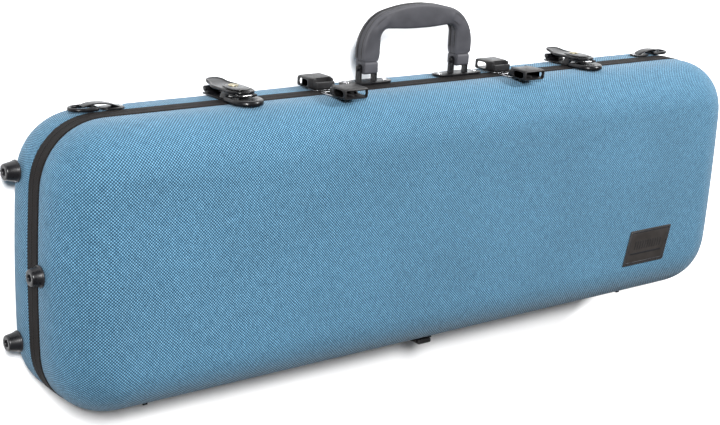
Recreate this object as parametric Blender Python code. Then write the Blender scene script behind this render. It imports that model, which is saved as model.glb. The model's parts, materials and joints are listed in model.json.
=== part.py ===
"""Violin case: two fabric-covered half shells hinged along one long side.

World frame: X along the length, +Y towards the carrying handle, +Z up through the lid.
The case lies on its base shell; the origin is the middle of the base's flat resting face.
All dimensions below are millimetres; meshes are written in metres.
"""
import math

import bmesh
import bpy
from mathutils import Matrix, Vector

MM = 0.001

# Case body
LENGTH = 801.0
WIDTH = 251.0
HEIGHT = 127.2
SEAM_Z = 63.0
BAND_LOW = 54.0
BAND_HIGH = 72.0
CORNER_R = 57.6
CORNER_POWER = 2.27
CORNER_STEPS = 7
END_BOW = 5.0
BASE_EDGE_R = 38.0
LID_EDGE_R = 45.0
WALL = 4.0
BAND_PROUD = 0.5
BAND_THICK = 6.0
GAP = 0.3

# Padding
BED_INSET = 6.9
BED_TOP = 58.0
LINING_THICK = 3.0
RECESS_FLOOR = 18.0

# Hardware plane: underside of every plate on the handle-side wall
WALL_Y = WIDTH / 2
MOUNT_Y = WALL_Y + BAND_PROUD + GAP

# Handle
HANDLE_Z = 50.0
PIVOT_Y = 141.2
ARM_X = 57.3
ARM_W = 20.4
HANDLE_END_W = 15.1
HANDLE_END_LOW = 136.0
HANDLE_DEPTH = 15.8
HANDLE_TOP = 199.0
HANDLE_SHOULDER = 196.0
GRIP_LOW = 148.0
INNER_TOP = 177.6
EAR_THICK = 2.2
EAR_GAP = 0.45
EAR_WIDTH = 7.0
PIN_R = 2.0
SHOULDER_R = 38.0
INNER_R = 9.0

# Latches
LATCH_X = 211.5
LATCH_HALF_W = 13.0
LEVER_LOW = 134.1
LEVER_THICK = 2.6
LEVER_FRONT = 81.0
LEVER_PIVOT_Y = 133.0
LEVER_PIVOT_Z = 79.5
STRIKE_TALL = 4.7
STRIKE_NOSE = 94.0
STRIKE_HALF_W = 15.2
BARREL_Y = 131.4
BARREL_Z = 31.0
BARREL_R = 2.5

# Buckle sockets
SOCKET_HALF_W = 13.3
SOCKET_LOW = 1.1
SOCKET_TALL = 10.2
SOCKET_LONG = 28.0
SOCKET_BASE_FACE = 36.5
SOCKET_LID_FACE = 110.6
SOCKET_LEFT_X = -115.0
SOCKET_RIGHT_X = 105.0

# Strap rings
RING_Z = 48.0
RING_ROD_R = 1.7
RING_HALF_W = 8.0
RING_REACH = 22.0
RING_BAR_X = 342.0
RING_PLATE_LONG = 27.0

# Strap loop on the hinge-side wall of the lid
LOOP_X = (-6.5, 8.0)
LOOP_Z = (75.0, 94.5)
LOOP_OUT = 5.7

# Hinges
HINGE_LEFT_X = -314.0
HINGE_RIGHT_X = 284.0
HINGE_Y = -(MOUNT_Y + 2.8)
HINGE_R = 2.7
HINGE_LONG = 60.0
HINGE_PIN_R = 1.2
KNUCKLE = 20.0
TONGUE_HALF = 2.2
TONGUE_TOP = 90.5

# Bumpers
BUMPER_TIP_X = -416.0
BUMPER_BASE_R = 9.4
BUMPER_TIP_R = 6.6
BUMPER_HOLE_R = 3.0

# Label: a leaning rectangle, its middle, size and sideways lean per unit of height
LABEL_MIDDLE = (279.0, -62.3)
LABEL_SIZE = (63.5, 38.0)
LABEL_LEAN = 0.22

MATERIALS = {
    "shell_fabric": ((0.10, 0.27, 0.40), 0.85, 0.0),
    "band_tape": ((0.035, 0.033, 0.036), 0.8, 0.0),
    "grip_plastic": ((0.055, 0.055, 0.06), 0.55, 0.0),
    "black_plastic": ((0.05, 0.05, 0.052), 0.5, 0.0),
    "black_steel": ((0.06, 0.06, 0.065), 0.28, 1.0),
    "bright_steel": ((0.6, 0.6, 0.62), 0.25, 1.0),
    "brass_trim": ((0.7, 0.58, 0.3), 0.35, 1.0),
    "bumper_rubber": ((0.03, 0.03, 0.03), 0.7, 0.0),
    "label_rubber": ((0.07, 0.06, 0.055), 0.6, 0.0),
    "plush": ((0.16, 0.17, 0.19), 0.95, 0.0),
}


def clear_scene():
    for obj in list(bpy.data.objects):
        bpy.data.objects.remove(obj, do_unlink=True)


def make_materials():
    for name, (colour, rough, metal) in MATERIALS.items():
        mat = bpy.data.materials.new(name)
        mat.use_nodes = True
        shader = mat.node_tree.nodes["Principled BSDF"]
        shader.inputs["Base Color"].default_value = (*colour, 1.0)
        shader.inputs["Roughness"].default_value = rough
        shader.inputs["Metallic"].default_value = metal


def add_object(name, bm, material, origin=(0, 0, 0), sharp=35.0):
    """Turn a millimetre bmesh into a named metre object whose origin is at the given point."""
    bmesh.ops.recalc_face_normals(bm, faces=bm.faces)
    bmesh.ops.translate(bm, verts=bm.verts, vec=-Vector(origin))
    bmesh.ops.scale(bm, verts=bm.verts, vec=(MM, MM, MM))
    mesh = bpy.data.meshes.new(name)
    bm.to_mesh(mesh)
    bm.free()
    mesh.shade_smooth()
    mesh.set_sharp_from_angle(angle=math.radians(sharp))
    obj = bpy.data.objects.new(name, mesh)
    obj.location = Vector(origin) * MM
    bpy.context.scene.collection.objects.link(obj)
    if material:
        mesh.materials.append(bpy.data.materials[material])
    else:
        obj.hide_render = True
        obj.display_type = "WIRE"
    return obj


def loft(rings, close_loop=False):
    """Skin equal-length rings of points; cap the ends unless the loop closes on itself."""
    bm = bmesh.new()
    loops = [[bm.verts.new(p) for p in ring] for ring in rings]
    count = len(loops[0])
    pairs = list(zip(loops, loops[1:]))
    if close_loop:
        pairs.append((loops[-1], loops[0]))
    for low, high in pairs:
        for i in range(count):
            j = (i + 1) % count
            bm.faces.new((low[i], low[j], high[j], high[i]))
    if not close_loop:
        bm.faces.new(loops[0])
        bm.faces.new(loops[-1])
    return bm


def prism(points, axis, low, high):
    """Extrude a flat outline along X, Y or Z between two positions."""
    def place(p, level):
        values = [p[0], p[1]]
        values.insert(axis, level)
        return values
    return loft([[place(p, low) for p in points], [place(p, high) for p in points]])


def box(x, y, z):
    return prism([(x[0], y[0]), (x[1], y[0]), (x[1], y[1]), (x[0], y[1])], 2, z[0], z[1])


def circle(centre, radius, count, start=0.0, sweep=360.0):
    """Points on a circle, or on an arc with both ends included."""
    steps = count if sweep >= 360.0 else count - 1
    points = []
    for i in range(count):
        angle = math.radians(start + sweep * i / steps)
        points.append((centre[0] + radius * math.cos(angle), centre[1] + radius * math.sin(angle)))
    return points


def rod(start, end, radius, count=16):
    """Cylinder between two points in any direction."""
    bm = bmesh.new()
    a, b = Vector(start), Vector(end)
    bmesh.ops.create_cone(bm, cap_ends=True, segments=count, radius1=radius, radius2=radius,
                          depth=(b - a).length)
    turn = (b - a).to_track_quat("Z", "Y").to_matrix().to_4x4()
    bmesh.ops.transform(bm, matrix=Matrix.Translation((a + b) / 2) @ turn, verts=bm.verts)
    return bm


def stadium(half_w, low, high, count=9):
    """Outline in (across, along) with half-round ends."""
    top = circle((0, high - half_w), half_w, count, 0, 180)
    bottom = circle((0, low + half_w), half_w, count, 180, 180)
    return top + bottom


def rounded_rect(x, y, radius, count=4):
    points = []
    for cx, cy, start in ((x[1] - radius, y[1] - radius, 0), (x[0] + radius, y[1] - radius, 90),
                          (x[0] + radius, y[0] + radius, 180), (x[1] - radius, y[0] + radius, 270)):
        points += circle((cx, cy), radius, count, start, 90)
    return points


def shifted(points, dx=0.0, dy=0.0):
    return [(p[0] + dx, p[1] + dy) for p in points]


def bevel(obj, width, segments=2, angle=40.0):
    mod = obj.modifiers.new("bevel", "BEVEL")
    mod.width = width * MM
    mod.segments = segments
    mod.limit_method = "ANGLE"
    mod.angle_limit = math.radians(angle)
    return obj


def boolean(obj, bm, operation="DIFFERENCE"):
    """Cut or join a bmesh body to an object, and keep the result as its mesh."""
    tool = add_object(obj.name + "_tool", bm, None)
    mod = obj.modifiers.new("boolean", "BOOLEAN")
    mod.object = tool
    mod.operation = operation
    mod.solver = "EXACT"
    settle(obj)
    bpy.data.objects.remove(tool, do_unlink=True)
    return obj


def settle(obj):
    """Replace the object's mesh by its evaluated one and drop its modifiers."""
    bpy.context.view_layer.update()
    graph = bpy.context.evaluated_depsgraph_get()
    mesh = bpy.data.meshes.new_from_object(obj.evaluated_get(graph))
    obj.modifiers.clear()
    obj.data = mesh
    mesh.shade_smooth()
    mesh.set_sharp_from_angle(angle=math.radians(35.0))
    return obj


def case_outline(inset):
    """Plan outline of the case, inset from its outer face: soft corners, slightly bowed ends."""
    half_l, half_w = LENGTH / 2 - inset, WIDTH / 2 - inset
    radius = max(CORNER_R - inset, 4.0)
    power = 2.0 / CORNER_POWER
    points = []
    for sx, sy, start in ((1, 1, 0), (-1, 1, 90), (-1, -1, 180), (1, -1, 270)):
        for i in range(CORNER_STEPS + 1):
            angle = math.radians(start + 90.0 * i / CORNER_STEPS)
            c, s = math.cos(angle), math.sin(angle)
            px = sx * (half_l - radius) + radius * math.copysign(abs(c) ** power, c)
            py = sy * (half_w - radius) + radius * math.copysign(abs(s) ** power, s)
            points.append((px, py))
    return [(x + math.copysign(END_BOW, x) * end_share(x, y), y) for x, y in insert_mid(points)]


def insert_mid(points):
    """Add points along the long straight stretches so that they can bow."""
    out = []
    for a, b in zip(points, points[1:] + points[:1]):
        out.append(a)
        pieces = 4 if math.dist(a, b) > 60.0 else 1
        for i in range(1, pieces):
            out.append((a[0] + (b[0] - a[0]) * i / pieces, a[1] + (b[1] - a[1]) * i / pieces))
    return out


def end_share(x, y):
    """How much of the end bow applies at a plan point."""
    along = min(abs(x) / (LENGTH / 2), 1.0) ** 6
    across = max(0.0, 1.0 - (y / (WIDTH / 2)) ** 2)
    return along * across


def edge_levels(flat_z, edge_r, open_z, inset, steps):
    """(z, inset) pairs from the flat face round the soft edge and up to the open rim."""
    sign = 1.0 if open_z > flat_z else -1.0
    centre = flat_z + sign * edge_r
    radius = edge_r - inset
    pairs = []
    for i in range(steps + 1):
        angle = math.radians(90.0 * i / steps)
        pairs.append((centre - sign * radius * math.cos(angle),
                      inset + radius * (1.0 - math.sin(angle))))
    pairs.append((open_z, inset))
    return pairs


def ring_at(z, inset):
    return [(x, y, z) for x, y in case_outline(inset)]


def tub(flat_z, edge_r, open_z, inset, thick, steps=5):
    """Open half shell with a soft edge, from its outer inset and thickness."""
    outer = [ring_at(z, i) for z, i in edge_levels(flat_z, edge_r, open_z, inset, steps)]
    inner = [ring_at(z, i) for z, i in edge_levels(flat_z, edge_r, open_z, inset + thick, steps)]
    return loft(outer + inner[::-1])


def band(low, high):
    """Closed band that runs round the seam."""
    rings = [ring_at(low, -BAND_PROUD), ring_at(high, -BAND_PROUD),
             ring_at(high, BAND_THICK), ring_at(low, BAND_THICK)]
    return loft(rings, close_loop=True)


def make_shells():
    add_object("base_shell", tub(0.0, BASE_EDGE_R, BAND_LOW - GAP / 2, 0.0, WALL),
               "shell_fabric")
    add_object("base_rim", band(BAND_LOW + GAP / 2, SEAM_Z - GAP / 2), "band_tape")
    add_object("lid_shell", tub(HEIGHT, LID_EDGE_R, BAND_HIGH + GAP / 2, 0.0, WALL),
               "shell_fabric", lid_axis())
    add_object("lid_rim", band(SEAM_Z + GAP / 2, BAND_HIGH - GAP / 2), "band_tape", lid_axis())
    lining = tub(HEIGHT, LID_EDGE_R, SEAM_Z + GAP, BED_INSET, LINING_THICK, 4)
    add_object("lid_lining", lining, "plush", lid_axis())


def lid_axis():
    return (0.0, HINGE_Y, SEAM_Z)


def violin_outline():
    """Plan of the violin recess: body with two bouts and a waist, then neck and scroll."""
    body_start, body_long = -372.0, 366.0
    lower, waist, upper = 107.0, 64.0, 88.0
    neck, scroll, scroll_end = 23.0, 29.0, 232.0
    stations = [(0.0, 0.32), (0.015, 0.52), (0.05, 0.78), (0.11, 0.94), (0.2, 1.0), (0.3, 0.95)]
    half = [(body_start + body_long * t, lower * k) for t, k in stations]
    half += [(body_start + body_long * t, w) for t, w in
             ((0.38, 80.0), (0.46, waist), (0.55, waist + 1.0), (0.63, 76.0), (0.7, 85.0))]
    half += [(body_start + body_long * t, upper * k) for t, k in
             ((0.78, 1.0), (0.87, 0.96), (0.94, 0.82), (0.985, 0.58), (1.0, 0.4))]
    half += [(body_start + body_long + 14.0, neck + 2.0), (60.0, neck), (150.0, neck),
             (176.0, neck + 1.0), (190.0, scroll), (scroll_end - 8.0, scroll),
             (scroll_end, scroll - 10.0)]
    return half + [(x, -y) for x, y in reversed(half)]


def make_bed():
    """Padded filling of the base with the violin recess and two pockets."""
    pairs = edge_levels(0.0, BASE_EDGE_R, BED_TOP, BED_INSET, 4)
    bed = add_object("violin_bed", loft([ring_at(z, i) for z, i in pairs]), "plush")
    boolean(bed, prism(violin_outline(), 2, RECESS_FLOOR, BED_TOP + 5.0))
    pocket = rounded_rect((66.0, 222.0), (56.0, 102.0), 6.0, 3)
    boolean(bed, prism(pocket, 2, RECESS_FLOOR, BED_TOP + 5.0))
    end_pocket = rounded_rect((248.0, 372.0), (-62.0, 62.0), 8.0, 3)
    boolean(bed, prism(end_pocket, 2, RECESS_FLOOR + 8.0, BED_TOP + 5.0))


def make_neck_rest():
    low, high, half_w = RECESS_FLOOR + GAP, 44.0, 22.0
    groove = circle((0.0, high), 14.0, 9, 180, 180)
    outline = [(-half_w, low), (half_w, low), (half_w, high)] + groove[::-1] + [(-half_w, high)]
    obj = add_object("neck_rest", prism(outline, 0, 84.0, 118.0), "plush")
    bevel(obj, 1.5, 2, 50.0)


def make_compartment_lid():
    axis_y, axis_z = 52.0, BED_TOP + GAP + 1.6
    bm = prism(rounded_rect((62.0, 226.0), (52.4, 106.0), 4.0, 3), 2, axis_z - 1.5, axis_z + 1.5)
    obj = add_object("compartment_lid", bm, "plush", (144.0, axis_y, axis_z))
    bevel(obj, 0.6, 1)


def make_bow_holders():
    top = HEIGHT - BED_INSET - LINING_THICK - GAP
    for side, x in (("left", -250.0), ("right", 250.0)):
        bm = prism(rounded_rect((x - 17.0, x + 17.0), (-72.0, 72.0), 6.0, 3), 2, top - 8.0, top)
        obj = add_object("bow_pad_" + side, bm, "plush", lid_axis())
        bevel(obj, 1.5, 1)
    for side, y in (("front", 45.0), ("rear", -45.0)):
        low = top - 8.0 - GAP
        button = add_object("bow_button_" + side,
                            prism(stadium(4.5, y - 15.0, y + 15.0, 7), 2, low - 12.0, low - 8.0),
                            "black_plastic", (250.0, y, low))
        button.data.transform(Matrix.Translation((0.25, 0.0, 0.0)))
        post = rod((250.0, y, low), (250.0, y, low - 9.0), 3.4, 12)
        boolean(button, post, "UNION")


def ear_outline():
    """Ear of a handle plate, seen along X, as (y, z)."""
    half = EAR_WIDTH / 2
    foot = MOUNT_Y + 1.0
    arc = circle((PIVOT_Y, HANDLE_Z), half, 9, -90, 180)
    return [(foot, HANDLE_Z - half)] + arc + [(foot, HANDLE_Z + half)]


def make_handle_plates():
    for side, sign in (("left", -1), ("right", 1)):
        centre = sign * ARM_X
        outline = [(x + centre, z) for z, x in stadium(8.7, -29.0, 29.0)]
        outline = [(x, z + HANDLE_Z - 1.0) for x, z in outline]
        plate = add_object("handle_plate_" + side, prism(outline, 1, MOUNT_Y, MOUNT_Y + 1.8),
                           "black_steel")
        for ear in (-1, 1):
            near = centre + ear * (HANDLE_END_W / 2 + EAR_GAP)
            bm = prism(ear_outline(), 0, min(near, near + ear * EAR_THICK),
                       max(near, near + ear * EAR_THICK))
            boolean(plate, bm, "UNION")
        reach = HANDLE_END_W / 2 + EAR_GAP + EAR_THICK
        bore = rod((centre - reach - 2, PIVOT_Y, HANDLE_Z), (centre + reach + 2, PIVOT_Y, HANDLE_Z),
                   PIN_R + 0.1)
        boolean(plate, bore)
        make_handle_pin(side, centre, reach)


def make_handle_pin(side, centre, reach):
    """Pivot pin with a low round head on each side of the ears."""
    pin = add_object("handle_pin_" + side,
                     rod((centre - reach - 1.2, PIVOT_Y, HANDLE_Z),
                         (centre + reach + 1.2, PIVOT_Y, HANDLE_Z), PIN_R), "black_steel")
    for end in (-1, 1):
        near = centre + end * (reach + 0.25)
        boolean(pin, rod((near, PIVOT_Y, HANDLE_Z), (near + end * 1.3, PIVOT_Y, HANDLE_Z), 3.0),
                "UNION")


def grip_outline():
    """Handle grip, seen along Z, as (x, y): arched back, rounded shoulders, straight arms."""
    outer_x = ARM_X + ARM_W / 2
    inner_x = ARM_X - ARM_W / 2
    half = [(inner_x, GRIP_LOW), (outer_x, GRIP_LOW)]
    half += circle((outer_x - SHOULDER_R, HANDLE_SHOULDER - SHOULDER_R - 1.0), SHOULDER_R, 8, 0, 78)
    half += [(27.0, HANDLE_TOP - 2.5), (12.0, HANDLE_TOP - 0.5), (4.0, HANDLE_TOP)]
    under = [(-12.0, INNER_TOP - 1.4), (12.0, INNER_TOP - 1.4), (30.0, INNER_TOP - 0.4)]
    inner = under + circle((inner_x - INNER_R, INNER_TOP - INNER_R), INNER_R, 6, 90, -90)
    mirror = [(-x, y) for x, y in reversed(half)]
    left_inner = [(-x, y) for x, y in reversed(inner[2:])]
    return half + mirror + left_inner + inner


def make_handle():
    origin = (0.0, PIVOT_Y, HANDLE_Z)
    low, high = HANDLE_Z - HANDLE_DEPTH / 2, HANDLE_Z + HANDLE_DEPTH / 2
    grip = add_object("handle_grip", prism(grip_outline(), 2, low, high), "grip_plastic", origin)
    bevel(grip, 2.4, 2, 50.0)
    half = HANDLE_DEPTH / 2 - 0.2
    for side, sign in (("left", -1), ("right", 1)):
        centre = sign * ARM_X
        outline = rounded_rect((HANDLE_END_LOW, GRIP_LOW - GAP), (HANDLE_Z - half, HANDLE_Z + half),
                               2.6, 5)
        bm = prism(outline, 0, centre - HANDLE_END_W / 2, centre + HANDLE_END_W / 2)
        end = add_object("handle_end_" + side, bm, "black_plastic", origin)
        bore = rod((centre - ARM_W, PIVOT_Y, HANDLE_Z), (centre + ARM_W, PIVOT_Y, HANDLE_Z),
                   PIN_R + 0.08)
        boolean(end, bore)


def make_latch_frame(side, x):
    """Base plate with a rolled barrel and two arms that carry the lever's pin."""
    plate = add_object("latch_frame_" + side,
                       prism(rounded_rect((x - 13.2, x + 13.2), (27.0, 61.0), 3.0, 4), 1,
                             MOUNT_Y, MOUNT_Y + 1.3), "black_steel")
    stand = [(MOUNT_Y + 1.0, BARREL_Z - 3.2), (MOUNT_Y + 1.0, BARREL_Z + 3.0),
             (BARREL_Y, BARREL_Z + 1.6), (BARREL_Y, BARREL_Z - 1.6)]
    boolean(plate, prism(stand, 0, x - 10.0, x + 10.0), "UNION")
    roll = rod((x - 12.6, BARREL_Y, BARREL_Z), (x + 12.6, BARREL_Y, BARREL_Z), BARREL_R, 12)
    boolean(plate, roll, "UNION")
    arm_low, arm_high, arm_end = LEVER_PIVOT_Y - 1.1, LEVER_LOW - GAP, LEVER_PIVOT_Z + 0.6
    for sign in (-1, 1):
        near, far = x + sign * 8.6, x + sign * 10.4
        profile = [(MOUNT_Y + 1.0, 52.0), (MOUNT_Y + 1.0, 60.5), (arm_low, 65.4),
                   (arm_low, arm_end), (arm_high, arm_end), (arm_high, 56.0)]
        boolean(plate, prism(profile, 0, min(near, far), max(near, far)), "UNION")
    pin = rod((x - 8.3, LEVER_PIVOT_Y, LEVER_PIVOT_Z), (x + 8.3, LEVER_PIVOT_Y, LEVER_PIVOT_Z),
              0.8, 12)
    add_object("latch_pin_" + side, pin, "bright_steel")


def lever_profile():
    """Lever seen along X, as (y, z): flat tray with a thumb tab that flares up at the back."""
    top = LEVER_LOW + LEVER_THICK
    return [(LEVER_LOW, LEVER_FRONT), (top, LEVER_FRONT), (top, 41.0), (top + 0.5, 35.0),
            (top + 1.5, 28.0), (top + 2.3, 22.6), (top + 1.9, 21.2), (top + 0.7, 21.6),
            (top - 0.3, 28.0), (LEVER_LOW + 0.4, 34.0), (LEVER_LOW, 40.0)]


def make_latch_lever(side, x):
    origin = (x, LEVER_PIVOT_Y, LEVER_PIVOT_Z)
    lever = add_object("latch_lever_" + side,
                       prism(lever_profile(), 0, x - LATCH_HALF_W, x + LATCH_HALF_W),
                       "black_steel", origin)
    plan = stadium(LATCH_HALF_W, 24.0, LEVER_FRONT, 11)
    nose = [p for p in plan if p[1] > 52.0]
    tab = circle((0.0, 30.2), 9.4, 9, 180, 180)
    outline = shifted(nose + [(-LATCH_HALF_W, 42.0)] + tab + [(LATCH_HALF_W, 42.0)], x)
    boolean(lever, prism(outline, 1, LEVER_LOW - 5.0, LEVER_LOW + 12.0), "INTERSECT")
    for sign in (-1, 1):
        near, far = x + sign * 5.0, x + sign * 8.2
        lug = circle((LEVER_PIVOT_Y, LEVER_PIVOT_Z), 1.6, 9, 90, 180)
        lug = [(LEVER_LOW + 0.4, LEVER_PIVOT_Z + 1.6), *lug, (LEVER_LOW + 0.4, LEVER_PIVOT_Z - 1.6)]
        boolean(lever, prism(lug, 0, min(near, far), max(near, far)), "UNION")
    bore = rod((x - 9.0, LEVER_PIVOT_Y, LEVER_PIVOT_Z), (x + 9.0, LEVER_PIVOT_Y, LEVER_PIVOT_Z),
               0.9, 12)
    boolean(lever, bore)
    make_latch_cover(side, x, origin)


def make_latch_cover(side, x, origin):
    low = LEVER_LOW + LEVER_THICK + GAP
    plan = shifted(stadium(9.6, 48.0, 77.5, 9), x)
    cover = add_object("latch_cover_" + side, prism(plan, 1, low, low + 1.3), "black_steel", origin)
    bevel(cover, 0.6, 1)
    boss = prism(circle((x, 58.0), 4.6, 16), 1, low + 1.3 + 0.1, low + 2.1)
    add_object("latch_boss_" + side, boss, "brass_trim", origin)


def make_latch_strike(side, x):
    """Round-nosed striker plate on the lid, with a raised middle."""
    low = MOUNT_Y
    plan = shifted(stadium(STRIKE_HALF_W, 50.0, STRIKE_NOSE, 11), x)
    plan = [(px, max(pz, 66.4)) for px, pz in plan]
    kept = []
    for p in plan:
        if not kept or math.dist(p, kept[-1]) > 0.01:
            kept.append(p)
    strike = add_object("latch_strike_" + side, prism(kept, 1, low, low + STRIKE_TALL),
                        "black_steel", lid_axis())
    bevel(strike, 1.6, 2, 50.0)


def socket_body():
    """Side-release buckle socket: mouth towards +Z, bar towards -Z, underside at y = 0."""
    half, tall, long = SOCKET_HALF_W, SOCKET_TALL, SOCKET_LONG
    plan = [(-half, long), (-half, long * 0.34), (-half + 2.6, long * 0.2), (-half + 2.6, 0.0),
            (half - 2.6, 0.0), (half - 2.6, long * 0.2), (half, long * 0.34), (half, long)]
    obj = add_object("socket_pattern", prism(plan, 1, 0.0, tall), "black_plastic")
    bevel(obj, 2.2, 2, 50.0)
    settle(obj)
    boolean(obj, box((-half + 1.7, half - 1.7), (1.7, tall - 1.7), (long * 0.36, long + 5.0)))
    window = rounded_rect((2.0, tall - 2.0), (long * 0.38, long * 0.88), 2.8, 4)
    boolean(obj, prism(window, 0, -half - 5.0, half + 5.0))
    boolean(obj, box((-half + 5.0, half - 5.0), (-5.0, tall + 5.0), (3.2, 7.2)))
    step = box((-half - 5.0, half + 5.0), (tall - 3.2, tall + 5.0), (-5.0, 3.6))
    boolean(obj, step)
    return obj


def place_socket(name, pattern, x, wall, face, mouth, origin=(0, 0, 0)):
    """Copy the socket onto a wall: wall is +1 for the handle side, mouth is +1 towards +Z."""
    turn = Matrix.Diagonal((1.0, float(wall), float(mouth), 1.0))
    y = wall * (MOUNT_Y + SOCKET_LOW)
    move = Matrix.Translation(Vector((x, y, face - mouth * SOCKET_LONG)) * MM)
    mesh = pattern.data.copy()
    mesh.transform(move @ turn)
    if wall * mouth < 0:
        mesh.flip_normals()
    mesh.transform(Matrix.Translation(-Vector(origin) * MM))
    mesh.name = name
    obj = bpy.data.objects.new(name, mesh)
    obj.location = Vector(origin) * MM
    bpy.context.scene.collection.objects.link(obj)


def socket_plate(name, x, wall, z, origin=(0, 0, 0)):
    low, high = wall * MOUNT_Y, wall * (MOUNT_Y + SOCKET_LOW - GAP)
    plan = shifted(rounded_rect((-9.5, 9.5), z, 4.0, 4), x)
    add_object(name, prism(plan, 1, min(low, high), max(low, high)), "black_steel", origin)


def make_sockets():
    pattern = socket_body()
    axis = lid_axis()
    for side, x in (("left", SOCKET_LEFT_X), ("right", SOCKET_RIGHT_X)):
        place_socket("socket_base_" + side, pattern, x, 1, SOCKET_BASE_FACE, -1)
        place_socket("socket_lid_" + side, pattern, x, 1, SOCKET_LID_FACE, 1, axis)
        socket_plate("socket_plate_base_" + side, x, 1, (46.0, 62.4))
        socket_plate("socket_plate_lid_" + side, x, 1, (67.5, 90.0), axis)
    bpy.data.objects.remove(pattern, do_unlink=True)


def make_strap_loop():
    """Low strap loop on a thin plate, on the lid's hinge-side wall."""
    plate = rounded_rect((LOOP_X[0] - 9.5, LOOP_X[1] + 3.0), (LOOP_Z[0] - 2.0, LOOP_Z[1] - 0.8), 3.0, 4)
    add_object("strap_plate_bottom", prism(plate, 1, -(MOUNT_Y + 0.9), -MOUNT_Y), "black_steel",
               lid_axis())
    near, far = MOUNT_Y + 0.9 + GAP, MOUNT_Y + LOOP_OUT
    outline = [(-y, z) for y, z in rounded_rect((near, far), LOOP_Z, 1.4, 4)]
    loop = add_object("strap_loop_bottom", prism(outline, 0, *LOOP_X), "black_plastic", lid_axis())
    slot = [(-y, z) for y, z in rounded_rect((near + 1.2, far - 1.2), (LOOP_Z[0] + 3.0, LOOP_Z[1] - 3.0),
                                             0.9, 3)]
    boolean(loop, prism(slot, 0, LOOP_X[0] - 5.0, LOOP_X[1] + 5.0))


def make_ring_plate(side, x_bar, direction):
    """Domed plate that holds a strap ring; direction points from the ring to the plate."""
    x_end = x_bar + direction * RING_PLATE_LONG
    plan = rounded_rect((min(x_bar + direction * 6.0, x_end), max(x_bar + direction * 6.0, x_end)),
                        (RING_Z - 7.2, RING_Z + 7.2), 5.0, 5)
    plate = add_object("ring_plate_" + side, prism(plan, 1, MOUNT_Y, MOUNT_Y + 1.6), "black_steel")
    top = [(24.0, 1.2), (21.0, 2.6), (16.0, 4.4), (10.5, 5.7), (4.5, 6.4), (-1.5, 6.5),
           (-7.0, 5.9), (-11.6, 4.3)]
    under = [(-11.2, 3.3), (-6.6, 4.8), (-1.5, 5.3), (4.5, 5.2), (10.5, 4.5), (16.0, 3.1),
             (21.0, 1.0), (24.0, 0.6)]
    profile = [(x_bar + direction * x, MOUNT_Y + y) for x, y in top + under]
    low_z, high_z = RING_Z - 5.4, RING_Z + 5.4
    bm = prism(profile, 2, low_z, high_z)
    boolean(plate, bm, "UNION")
    return plate


def make_strap_ring(side, x_bar, direction):
    """D-shaped ring lying flat: straight bar under the dome, bow on the far side."""
    y = MOUNT_Y + RING_ROD_R + 0.5
    bow = circle((0.0, 0.0), 1.0, 9, 90, 180)
    path = [(0.0, RING_HALF_W), *[(RING_REACH * 0.45 * (c - 1.0) - RING_REACH * 0.1,
                                   s * RING_HALF_W) for c, s in bow], (0.0, -RING_HALF_W)]
    bm = tube_loop([(x_bar + direction * px, y, RING_Z + pz) for px, pz in path], RING_ROD_R)
    add_object("strap_ring_" + side, bm, "black_steel", (x_bar, y, RING_Z))


def tube_loop(points, radius, sides=8):
    """Round rod swept round a closed flat loop that lies in a plane of constant Y."""
    rings = []
    count = len(points)
    for i, point in enumerate(points):
        before, after = Vector(points[i - 1]), Vector(points[(i + 1) % count])
        here = Vector(point)
        bisect = ((here - before).normalized() + (after - here).normalized()).normalized()
        out = bisect.cross(Vector((0.0, 1.0, 0.0)))
        stretch = 1.0 / max(0.5, (here - before).normalized().dot(bisect))
        ring = []
        for j in range(sides):
            angle = 2.0 * math.pi * j / sides
            ring.append(here + out * (radius * stretch * math.cos(angle))
                        + Vector((0.0, radius * math.sin(angle), 0.0)))
        rings.append(ring)
    return loft(rings, close_loop=True)


def leaf_outline(low, high):
    return rounded_rect((-HINGE_LONG / 2, HINGE_LONG / 2), (low, high), 4.0, 4)


def knuckle(x0, x1):
    return rod((x0, HINGE_Y, SEAM_Z), (x1, HINGE_Y, SEAM_Z), HINGE_R, 16)


def web(x0, x1, low, high):
    """Flat strip that joins a leaf to its knuckle."""
    return box((x0, x1), (-(MOUNT_Y + 1.2), -MOUNT_Y), (low, high))


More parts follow.
